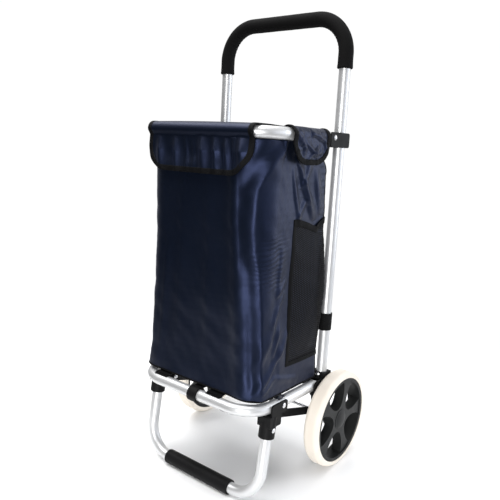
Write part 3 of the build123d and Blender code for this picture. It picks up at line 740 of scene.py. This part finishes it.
# %% Bag body
# columns and rows stand closer where the cloth is most wrinkled
BAG_COLUMNS = np.concatenate([np.arange(0, 150, 6), np.arange(150, 344, 2.4), np.arange(344, ROUND, 5.6)])
BAG_ROWS = np.interp(np.linspace(0, 1, 196), [0, 0.24, 0.66, 1], [0, 0.36, 0.72, 1])
FLOOR_SHARES = (0.0, 0.3, 0.6, 0.8, 0.92, 0.975)


def bag_body():
    s = BAG_COLUMNS
    up = BAG_ROWS[:, None]
    u = BAG_FLOOR_U + 1.2 + up * (rim_height(s)[None] - BAG_FLOOR_U - 1.2)
    walls = bag_points(np.broadcast_to(s, u.shape), u)
    floor = np.stack([bag_points(s, np.full_like(s, BAG_FLOOR_U), share) for share in FLOOR_SHARES])
    points = np.concatenate([floor, walls])
    s_wide = np.append(s, ROUND)
    low_rows = BAG_FLOOR_U - (1 - np.array(FLOOR_SHARES)[:, None]) * 110
    u_cloth = np.concatenate([low_rows + 0 * s_wide, np.concatenate([u, u[:, :1]], axis=1)])
    cloth = stack(np.broadcast_to(s_wide, u_cloth.shape), u_cloth, 0)[..., :2]
    piece = link("bag_body", grid_mesh("bag_body", lean(points), cloth, around=True))
    return thicken(piece, CLOTH_THICK)


bag = settle(bag_body(), NAVY, "handle_frame", ["bag_shell"], "base_fold")

# %% [markdown]
# ## Flaps
# The lid and the ears are cut alike: a strip of cloth, sewn down at one end and rounded at the other.

# %% A flap's outline and its grid
def flap_outline(half, length, corner, arc, inset, steps):
    """Down one long edge, round the free end's two corners and up the other, inset mm inside the cut.
    arc is the share of the points, in mm, that each corner gets."""
    straight = length - corner
    at = np.concatenate([[0], np.cumsum([straight, arc, 2 * (half - corner), arc, straight])])
    t = np.linspace(0, at[-1], steps)
    angle = np.interp(t, at, np.radians([180, 180, 90, 90, 0, 0]))
    x = np.interp(t, at, (half - corner) * np.array([-1, -1, -1, 1, 1, 1]))
    s = np.interp(t, at, straight * np.array([0, 1, 1, 1, 1, 0]))
    return x + (corner - inset) * np.cos(angle), s + (corner - inset) * np.sin(angle)


def flap_grid(half, length, corner, rows, columns, crowd):
    """Rows from the sewn end to the free one, each as wide as the rounded corners leave it. crowd above
    1 brings the rows closer together towards the free end."""
    s = (length * (1 - (1 - np.linspace(0, 1, rows)) ** crowd))[:, None]
    into = np.clip(s - (length - corner), 0, corner)
    x = (half - corner + np.sqrt(corner ** 2 - into ** 2)) * np.linspace(-1, 1, columns)[None]
    return x, np.broadcast_to(s, x.shape)


# %% [markdown]
# ## The lid
# One panel, hinged on the rear hem, that lies over the opening and hangs down over the front bar with
# rounded corners. Flat, it is a rectangle x wide and s long from the hinge; bent, s runs along the top,
# round the tube and down. The flap was gathered into its binding, so it ripples towards its edge.

# %% Lid shape
LID_HALF, LID_CORNER = LID_HIGH[0], 48.0
LID_TAPE, LID_SEAM = 9.0, 7.4                          # binding's width, stitches' distance from the edge
LID_REAR_V = LID_LOW[1] + 1.0
RIDGE_V = FRAME_HIGH[1] - TUBE_R                       # axis of the top frame's front bar
RIDGE_R = TUBE_R + 1.6
LID_TOP = RIDGE_V - LID_REAR_V
LID_BEND = RIDGE_R * np.pi / 2
LID_DROP = TOP_U - LID_LOW[2] - 2.0
LID_LENGTH = LID_TOP + LID_BEND + LID_DROP
PUCKERS = ((-101, 9, 9.0), (-60, 8, 8.5), (-34, 4, 3.0), (-16, 5, 2.5), (7, 11, 10.0), (37, 8, 9.0),
           (62, 7, 8.5), (80, 4, 3.5), (97, 14, 13.5))   # middle, width and height of each


def lid_points(x, s, proud=0.0):
    """The lid's outer face: straight along the top, a quarter circle over the bar, straight down."""
    turn = np.clip((s - LID_TOP) / RIDGE_R, 0, np.pi / 2)
    down = np.clip((s - LID_TOP - LID_BEND) / LID_DROP, 0, 1)
    on_top = np.clip(s / LID_TOP, 0, 1)
    v = LID_REAR_V + np.minimum(s, LID_TOP)
    u = TOP_U - down * LID_DROP
    out = RIDGE_R + proud
    lean_x = x - 14 * down                              # gathers lean to one side on their way down
    ripple = sum(h * np.exp(-np.abs((lean_x - m) / w) ** 1.7)
                 * np.clip((down - 0.06 - 0.12 * np.sin(0.07 * m) ** 2) * 2.6, 0, 1) for m, w, h in PUCKERS)
    out = out + ripple * (1 - 0.5 * down ** 2)
    out = out - eased(down, [0, 0.16, 0.5, 1], [0, 6.5, 6.0, 1.5])   # it falls back under the bar
    out = out + 1.2 * down * waves(x, s, 60, 4, 12)
    edge = 1 - np.clip((LID_HALF - np.abs(x)) / 34, 0, 1)
    sag = np.sin(np.pi * on_top) * (1 - np.abs(x / LID_HALF) ** 2)
    out = out - (turn <= 0) * 3.2 * sag
    out = out + 0.7 * waves(x, s, 120, 5, 21) * np.sin(np.pi * np.clip(on_top, 0, 1))
    out = out + fold(x, s, (118, 8), (96, 168), 9, 1.6) + fold(x, s, (-40, 20), (-96, 160), 14, 1.5)
    out = out + fold(x, s, (-118, 178), (118, 176), 10, 1.2)
    spread = 1 + 0.035 * down * edge * (x < 0) + 0.01 * down
    return stack(x * spread, v + out * np.sin(turn), u + out * np.cos(turn))


def lid_outline(inset, steps=420):
    return flap_outline(LID_HALF, LID_LENGTH, LID_CORNER, 75, inset, steps)


def lid_cloth():
    x, s = flap_grid(LID_HALF, LID_LENGTH, LID_CORNER, 170, 190, 1.12)
    piece = link("lid_cloth", grid_mesh("lid_cloth", lean(lid_points(x, s)), stack(x, s, 0)[..., :2]))
    return thicken(piece, CLOTH_THICK)


lid = settle(lid_cloth(), NAVY, "lid", ["lid"], "base_fold", LID_LIFT)


def lid_binding():
    edge = lid_points(*lid_outline(0.0))
    inside = lid_points(*lid_outline(LID_TAPE))
    return tape("lid_binding", edge, inside, 3.4)


lid_tape = settle(lid_binding(), BINDING, "lid", fold_with="base_fold", lift=LID_LIFT)


def surface_normal(shape, a, b, step=0.5):
    """A surface's outward direction, from its slopes along its two parameters."""
    along_a = shape(a + step, b) - shape(a - step, b)
    along_b = shape(a, b + step) - shape(a, b - step)
    return unit(np.cross(along_a, along_b))


def lid_stitches():
    x, s = lid_outline(LID_SEAM, 900)
    normal = -surface_normal(lid_points, x, s)
    return stitches("lid_stitches", lid_points(x, s) + 1.75 * normal, normal)


lid_row = settle(lid_stitches(), THREAD, "lid", fold_with="base_fold", lift=LID_LIFT)
LID_LENGTH * MM

# %% [markdown]
# ## Ears
# On each side a short flap of the bag's cloth is folded over the top frame's tube, to hold the bag up.
# Flat it is a rounded rectangle; bent, its length goes up the inside, over the tube and down outside.
# The cloth there is gripped and crumpled, so it has short sharp folds in crossing directions.

# %% Ears over the side tubes
EAR_HALF = (EAR_HIGH[1] - EAR_LOW[1]) / 2 + 5.0
EAR_MIDDLE_V = (EAR_HIGH[1] + EAR_LOW[1]) / 2 + 6.0
EAR_R = TUBE_R + 1.8
EAR_INSIDE = 15.0
EAR_OVER = EAR_R * np.pi
EAR_OUTSIDE = TOP_U - EAR_LOW[2] + 7.0
EAR_LENGTH = EAR_INSIDE + EAR_OVER + EAR_OUTSIDE
EAR_CORNER, EAR_TAPE, EAR_SEAM = 44.0, 9.0, 7.6
EAR_FOLDS = (((-44, 66), (6, 50), 6, 4.6), ((-20, 96), (26, 66), 6, 4.4), ((14, 98), (-24, 70), 5, 3.6),
             ((52, 50), (16, 84), 7, 5.0), ((-36, 56), (-52, 84), 5, 3.0), ((-6, 44), (42, 40), 5, 2.6),
             ((-34, 84), (-4, 90), 5, 3.2))


def ear_points(side):
    def points(a, s):
        """a mm forwards of the ear's middle, s mm along the cloth from its inner end."""
        turn = np.clip((s - EAR_INSIDE) / EAR_R, 0, np.pi)
        below = np.where(s < EAR_INSIDE, EAR_INSIDE - s, np.maximum(s - EAR_INSIDE - EAR_OVER, 0))
        loose = np.clip((s - EAR_INSIDE - 0.45 * EAR_OVER) / 22, 0, 1)
        out = EAR_R + 1.0 + loose * (0.8 + 1.3 * np.abs(waves(a, s, 34, 6, 40 + side)))
        out = out + loose * sum(fold(a, s, *line) for line in EAR_FOLDS)
        x = TUBE_X - out * np.cos(turn)
        u = TOP_U + out * np.sin(turn) - below
        return stack(side * x, EAR_MIDDLE_V + a * (1 + 0.03 * waves(a, s, 50, 3, 9)), u)
    return points


def ear_outline(inset, steps=260):
    return flap_outline(EAR_HALF, EAR_LENGTH, EAR_CORNER, 41, inset, steps)


def ear_cloth(side, label):
    points = ear_points(side)
    a, s = flap_grid(EAR_HALF, EAR_LENGTH, EAR_CORNER, 90, 96, 1.1)
    mesh = grid_mesh(f"ear_cloth_{label}", lean(points(a, s)), stack(a, s, 0)[..., :2], flip=side < 0)
    return thicken(link(f"ear_cloth_{label}", mesh), 1.0)


for side, label in ((1, "right"), (-1, "left")):
    ear = settle(ear_cloth(side, label), NAVY, "top_frame", [f"side_ear_{label}"])
    shape = ear_points(side)
    ear_tape = settle(tape(f"ear_binding_{label}", shape(*ear_outline(0.0)), shape(*ear_outline(EAR_TAPE)), 3.2),
                      BINDING, "top_frame")
    a, s = ear_outline(EAR_SEAM, 520)
    normal = side * surface_normal(shape, a, s)
    ear_row = settle(stitches(f"ear_stitches_{label}", shape(a, s) + 1.6 * normal, normal),
                     THREAD, "top_frame")
    2 * EAR_HALF * MM
    EAR_LENGTH * MM

# %% [markdown]
# ## Pipings and seams of the bag
# A thin black binding runs down both rear corners, a cord is sewn round the bottom edge, and a double
# row of stitches holds the rim's hem. They follow the bag's own surface, a millimetre proud of it.

# %% Pipings and the rim's stitches
def corner_piping(name, at):
    u = np.linspace(BAG_FLOOR_U + 2, RIM_U - 6, 240)
    return piping(name, bag_points(np.full_like(u, at), u, proud=0.9), 1.9)


for label, at in (("right", SIDE_STARTS[1:3].mean()), ("left", SIDE_STARTS[7:9].mean())):
    settle(corner_piping(f"rear_piping_{label}", at), BINDING, "handle_frame",
           fold_with="base_fold")


def bottom_piping():
    s = np.linspace(0, ROUND, 420, endpoint=False)
    return piping("bottom_piping", bag_points(s, np.full_like(s, BAG_FLOOR_U + 2.6), proud=0.5), 2.0,
                  closed=True)


settle(bottom_piping(), BINDING, "handle_frame", fold_with="base_fold")


def rim_stitches(name, below):
    s = np.linspace(HEM_HALF + 22, ROUND - HEM_HALF - 22, 900)
    u = np.full_like(s, RIM_U - below)
    return stitches(name, bag_points(s, u, proud=0.15), -surface_normal(bag_points, s, u))


for name, below in (("rim_stitches_upper", 11.0), ("rim_stitches_lower", 15.0)):
    settle(rim_stitches(name, below), THREAD, "handle_frame", fold_with="base_fold")

# %% [markdown]
# ## The floor board
# A stiff board lies in the bag and keeps its bottom spread. It is a rounded plate; here it is made as
# rings of one outline.

# %% Floor board
def floor_board():
    """A rounded rectangle's outline at a few scales: up its edge, in over the top, closed below."""
    a = np.linspace(0, 2 * np.pi, 160, endpoint=False)
    half, deep = (BOARD_HIGH - BOARD_LOW)[:2] / 2
    middle_v = (BOARD_HIGH + BOARD_LOW)[1] / 2
    x = half * np.sign(np.cos(a)) * np.abs(np.cos(a)) ** 0.2
    v = deep * np.sign(np.sin(a)) * np.abs(np.sin(a)) ** 0.25
    low, high = BOARD_LOW[2], BOARD_HIGH[2]
    rings = [(0, low), (0.5, low), (0.99, low), (1, low + 0.7), (1, high - 0.7), (0.99, high),
             (0.5, high), (0, high)]
    points = np.stack([stack(x * k, middle_v + v * k, u) for k, u in rings])
    return link("floor_board", outwards(grid_mesh("floor_board", lean(points), around=True)))


settle(floor_board(), FINISH_OF["base_board"], "handle_frame", ["bag_floor_board"],
       "base_fold")

# %% [markdown]
# ## Net pocket
# A knitted net is sewn to the bag's right side along two edges and its bottom; its top edge is gathered
# by an elastic hem that sags in a V. It bellies out most near the rear. Its holes are cut by the
# finish; its belly, gathers, hem and bindings are real.

# %% Pocket net, hem and bindings
POCKET_REAR, POCKET_FRONT = POCKET_LOW[1] - 22.0, POCKET_HIGH[1] + 1.0
POCKET_FLOOR_U, POCKET_TOP_U = POCKET_LOW[2], POCKET_HIGH[2]
POCKET_SAG = 17.0
BELLY = 15.0


def side_x(v, u):
    """The bag's right side at (v, u): found on the outline by interpolating along it."""
    s = np.linspace(SIDE_STARTS[1], SIDE_STARTS[4], 120)
    flat_u = np.asarray(u, float).ravel()
    flat_v = np.broadcast_to(v, np.shape(u)).ravel()
    wall = bag_points(s[None], flat_u[:, None])
    over = np.argmax(wall[..., 1] >= flat_v[:, None], axis=1).clip(1)
    row = np.arange(len(flat_u))
    v0, v1 = wall[row, over - 1, 1], wall[row, over, 1]
    t = np.clip((flat_v - v0) / np.maximum(v1 - v0, 1e-6), 0, 1)
    x0, x1 = wall[row, over - 1, 0], wall[row, over, 0]
    return (x0 + (x1 - x0) * t).reshape(np.shape(u))


def pocket_points(a, b, proud=0.0):
    """a from 0 at the rear edge to 1 at the front, b from 0 at the bottom to 1 at the sagging top."""
    a, b = np.broadcast_arrays(np.asarray(a, float), np.asarray(b, float))
    inner = np.clip(a, 0, 1)
    top = POCKET_TOP_U - POCKET_SAG * np.clip(1 - np.abs(inner - 0.32) / np.where(inner > 0.32, 0.6, 0.3),
                                              0, 1) ** 1.3
    u = POCKET_FLOOR_U + b * (top - POCKET_FLOOR_U)
    full = 0.2 + 0.8 * np.sin(np.pi * np.clip(1.12 * b - 0.06, 0, 1)) ** 1.5
    v = POCKET_REAR + a * (POCKET_FRONT - POCKET_REAR)
    round_a = np.sin(np.pi * inner ** 0.45)
    belly = BELLY * np.clip(round_a, 0, 1) ** 0.6 * full
    gathers = (0.8 + 1.6 * b ** 3) * waves(a * 92, b * 46, 34, 5, 2)
    x = side_x(v, u) + 1.1 + proud + belly + gathers * round_a * 0.75
    return stack(x, v - 3 * full * round_a, u)


def pocket_net():
    b, a = np.meshgrid(np.linspace(0, 1, 130), np.linspace(0, 1, 84), indexing="ij")
    cloth = stack(a * 92, b * 278, 0)[..., :2]
    return link("pocket_net", grid_mesh("pocket_net", lean(pocket_points(a, b)), cloth, flip=True))


net = settle(pocket_net(), NET, "handle_frame", ["mesh_pocket"], "base_fold")


def pocket_edge(name, a, b, a_in, b_in, thick):
    return settle(tape(name, pocket_points(a, b), pocket_points(a_in, b_in), thick), BINDING,
                  "handle_frame", fold_with="base_fold")


run = np.linspace(0, 1, 170)
pocket_hem = pocket_edge("pocket_hem", run, 1 + 0 * run, run, 1 - 12 / 278 + 0 * run, 3.2)
pocket_front = pocket_edge("pocket_front_binding", 1 + 0 * run, run, 0.945 + 0 * run, run, 2.2)
pocket_rear = pocket_edge("pocket_rear_binding", 0 * run, run, 0.012 + 0 * run, run, 2.2)
pocket_foot = pocket_edge("pocket_bottom_binding", run, 0 * run, run, 0.028 + 0 * run, 2.4)

# %% [markdown]
# ## Straps round the handle tubes
# A webbing strap is sewn to the bag's rear corner and closes on itself round the tube, one turn and an
# overlap. Seen from above it is a line that comes off the bag, goes round the tube and lies on itself.

# %% Handle straps
def strap(side, label):
    """The line from the bag to the tube's inner side, then a turn and a third with a slowly growing
    radius; the webbing is that line's height times its thickness."""
    start = np.array([TUBE_X - TUBE_R - 3.2, BAG_LOW[1] - 3.6])
    turn = np.radians(np.linspace(180, 180 - 470, 150))
    radius = TUBE_R + 1.0 + np.clip(np.linspace(-0.9, 2.3, 150), 0, 1.7)
    spiral = np.stack([TUBE_X + radius * np.cos(turn), -radius * np.sin(-turn)], -1)
    lead = start + (spiral[0] - start) * np.linspace(0, 1, 24)[:-1, None]
    line = np.concatenate([lead, spiral])
    along = unit(np.gradient(line, axis=0))
    normal = np.stack([along[:, 1], -along[:, 0]], -1)
    low, high, half = STRAP_LOW[2] + 0.5, STRAP_HIGH[2] - 0.5, 0.65
    loop = [(-half, low + 0.5), (-half, high - 0.5), (-half * 0.4, high), (half * 0.4, high),
            (half, high - 0.5), (half, low + 0.5), (half * 0.4, low), (-half * 0.4, low)]
    rows = [stack(side * (line + n * normal)[:, 0], (line + n * normal)[:, 1], u) for n, u in loop]
    points = np.stack(rows, axis=1)
    lengths = running_lengths(np.c_[line, 0 * line[:, :1]])
    return sweep(f"handle_webbing_{label}", points, lengths, np.array([0, 35, 36, 37, 38, 73, 74, 75, 76.0]))


for side, label in ((1, "right"), (-1, "left")):
    band = settle(strap(side, label), WEBBING, "handle_frame", [f"handle_strap_{label}"])

# %% [markdown]
# ## Foam grip
# A foam tube pushed over the bent handle. It is a circle carried along the handle's line, which runs up,
# turns a quarter, crosses and comes down; on the inside of each bend the foam is squeezed into small
# scallops, and its ends are a little swollen. The same line inside gives the foam its bore.

# %% Grip along the handle's line
GRIP_R = (GRIP_HIGH[1] - GRIP_LOW[1]) / 2
HANDLE_BEND_R = 68.0
HANDLE_TOP_U = GRIP_HIGH[2] - GRIP_R
GRIP_LEG = HANDLE_TOP_U - HANDLE_BEND_R - GRIP_LOW[2]
BEND_LENGTH = HANDLE_BEND_R * np.pi / 2
TOP_LENGTH = 2 * (TUBE_X - HANDLE_BEND_R)
GRIP_LENGTH = 2 * GRIP_LEG + 2 * BEND_LENGTH + TOP_LENGTH


def handle_heading(s):
    """Direction of travel up one side, over the top and down: it turns evenly along each bend."""
    first = np.clip((s - GRIP_LEG) / BEND_LENGTH, 0, 1)
    second = np.clip((s - GRIP_LEG - BEND_LENGTH - TOP_LENGTH) / BEND_LENGTH, 0, 1)
    return np.pi / 2 * (1 + first + second), np.sin(np.pi * first) + np.sin(np.pi * second)


def foam_grip():
    s = np.linspace(0, GRIP_LENGTH, 520)
    heading, _ = handle_heading((s[1:] + s[:-1]) / 2)
    step = np.diff(s)
    x = TUBE_X + np.concatenate([[0], np.cumsum(np.cos(heading) * step)])
    u = GRIP_LOW[2] + np.concatenate([[0], np.cumsum(np.sin(heading) * step)])
    heading, bending = handle_heading(s)
    a = np.linspace(0, 2 * np.pi, 56, endpoint=False)[None]
    inner = np.clip(np.cos(a), 0, 1) ** 1.6
    scallop = np.abs(np.sin(np.pi * s / 8.6))[:, None] ** 0.6
    radius = GRIP_R - 1.3 * inner * bending[:, None] * (1 - scallop)
    from_end = np.minimum(s, GRIP_LENGTH - s)[:, None]
    radius = radius + 0.7 * np.exp(-(from_end / 7) ** 2) - 1.6 * np.exp(-from_end / 0.7)
    radius = radius + 0.12 * waves(s[:, None], a * GRIP_R, 50, 5, 31)
    bore = np.full((len(s), 56), TUBE_R + 0.05)
    rings = np.concatenate([radius, bore[::-1]])
    x, u, heading = (np.concatenate([k, k[::-1]])[:, None] for k in (x, u, heading))
    towards = rings * np.cos(a)
    points = stack(x - towards * np.sin(heading), rings * np.sin(a), u + towards * np.cos(heading))
    mesh = grid_mesh("grip_sleeve", lean(points), around=True, along=True)
    return link("grip_sleeve", outwards(mesh))


grip = settle(foam_grip(), FINISH_OF["grip_foam"], "handle_frame", ["handle_grip"])

# %% [markdown]
# ## The studio
# A pale floor in a white surround. The surround is bright behind the trolley and dim in front of it, so
# that tubes have clear edges and the front of the bag stays dark. A large light behind to the right
# rakes over the bag's side, a weak one beside it fills the corner's shade, a narrow one in front draws
# the front corner and the gathers, and one overhead evens the floor.

# %% Floor and lights
def pale_floor():
    """Alpha fades out with the distance from the middle, so the floor has no edge."""
    made = Finish("pale_floor", Specular_IOR_Level=0.1)
    x, y, _ = made.axes(made.place())
    made.colour((0.90, 0.90, 0.90), (0.92, 0.92, 0.92), made.noise(3.0))
    made.set("Alpha", 1 - (x * x + y * y).between(0.12, 0.9))
    return made.set("Roughness", made.noise(20.0) * 0.1 + 0.8).material


def floor_disc():
    """Rings of a circle at growing radii, at the wheels' lowest point."""
    a = np.linspace(0, 2 * np.pi, 96, endpoint=False)
    r = np.array([0.0, 0.2, 0.5, 1.0])[:, None]
    points = stack(r * np.cos(a), r * np.sin(a), CAD_BOX[0][2] - 0.0002)
    floor = link("floor", grid_mesh("floor", points, around=True))
    floor.data.materials.append(pale_floor())
    floor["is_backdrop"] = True


def soft_light(name, place, towards, size, power, tint=(1, 1, 1)):
    light = bpy.data.lights.new(name, "AREA")
    light.shape = "RECTANGLE"
    light.size, light.size_y = size
    light.energy = power
    light.color = tint
    lamp = bpy.data.objects.new(name, light)
    bpy.context.scene.collection.objects.link(lamp)
    aim = np.subtract(towards, place)
    turn = np.arctan2(aim[0], -aim[1])
    tilt = np.arctan2(np.hypot(aim[0], aim[1]), -aim[2])
    lamp.location = place
    lamp.rotation_euler = (tilt, 0, turn + np.pi)
    return lamp


def white_surround():
    """White where it is seen directly; as light, bright behind (+y) and above, dim in front."""
    world = bpy.data.worlds.new("studio")
    bpy.context.scene.world = world
    world.use_nodes = True
    made = Nodes(world.node_tree)
    _, y, z = made.axes(made.node("ShaderNodeTexCoord").outputs["Generated"])
    light = y.between(-0.3, 0.6) * 0.62 + z.between(0.2, 0.9) * 0.30 + 0.04
    seen = Wire(made.tree, made.node("ShaderNodeLightPath").outputs["Is Camera Ray"])
    made.feed(world.node_tree.nodes["Background"].inputs["Strength"], light + seen * (1.02 - light))
    world.node_tree.nodes["Background"].inputs["Color"].default_value = (1, 1, 1, 1)


floor_disc()
MIDDLE = (0, 0, 0.45)
soft_light("right_light", (1.9, 1.7, 0.9), MIDDLE, (1.6, 2.0), 31, (0.84, 0.90, 1.0))
soft_light("side_light", (2.5, 0.0, 0.75), MIDDLE, (1.3, 1.8), 9, (0.84, 0.88, 1.0))
soft_light("front_light", (1.05, -2.0, 0.55), MIDDLE, (0.62, 1.5), 42)
soft_light("top_light", (-0.7, -0.3, 3.1), (0, 0, 0), (3.0, 3.0), 145)
white_surround()
bpy.context.scene.view_settings.view_transform = "Standard"

# %% [markdown]
# ## Sizes
# How far the soft pieces stand out of the CAD box, below and above on each axis, is printed. The soft
# pieces may stand a little proud of the CAD box and no more.

# %% Write the sizes and finish
look_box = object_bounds()
for axis, low, high, low_cad, high_cad in zip("xyz", *look_box, *CAD_BOX):
    print(f"{axis}: {1000 * (low - low_cad):+.1f} mm below, {1000 * (high - high_cad):+.1f} mm above")
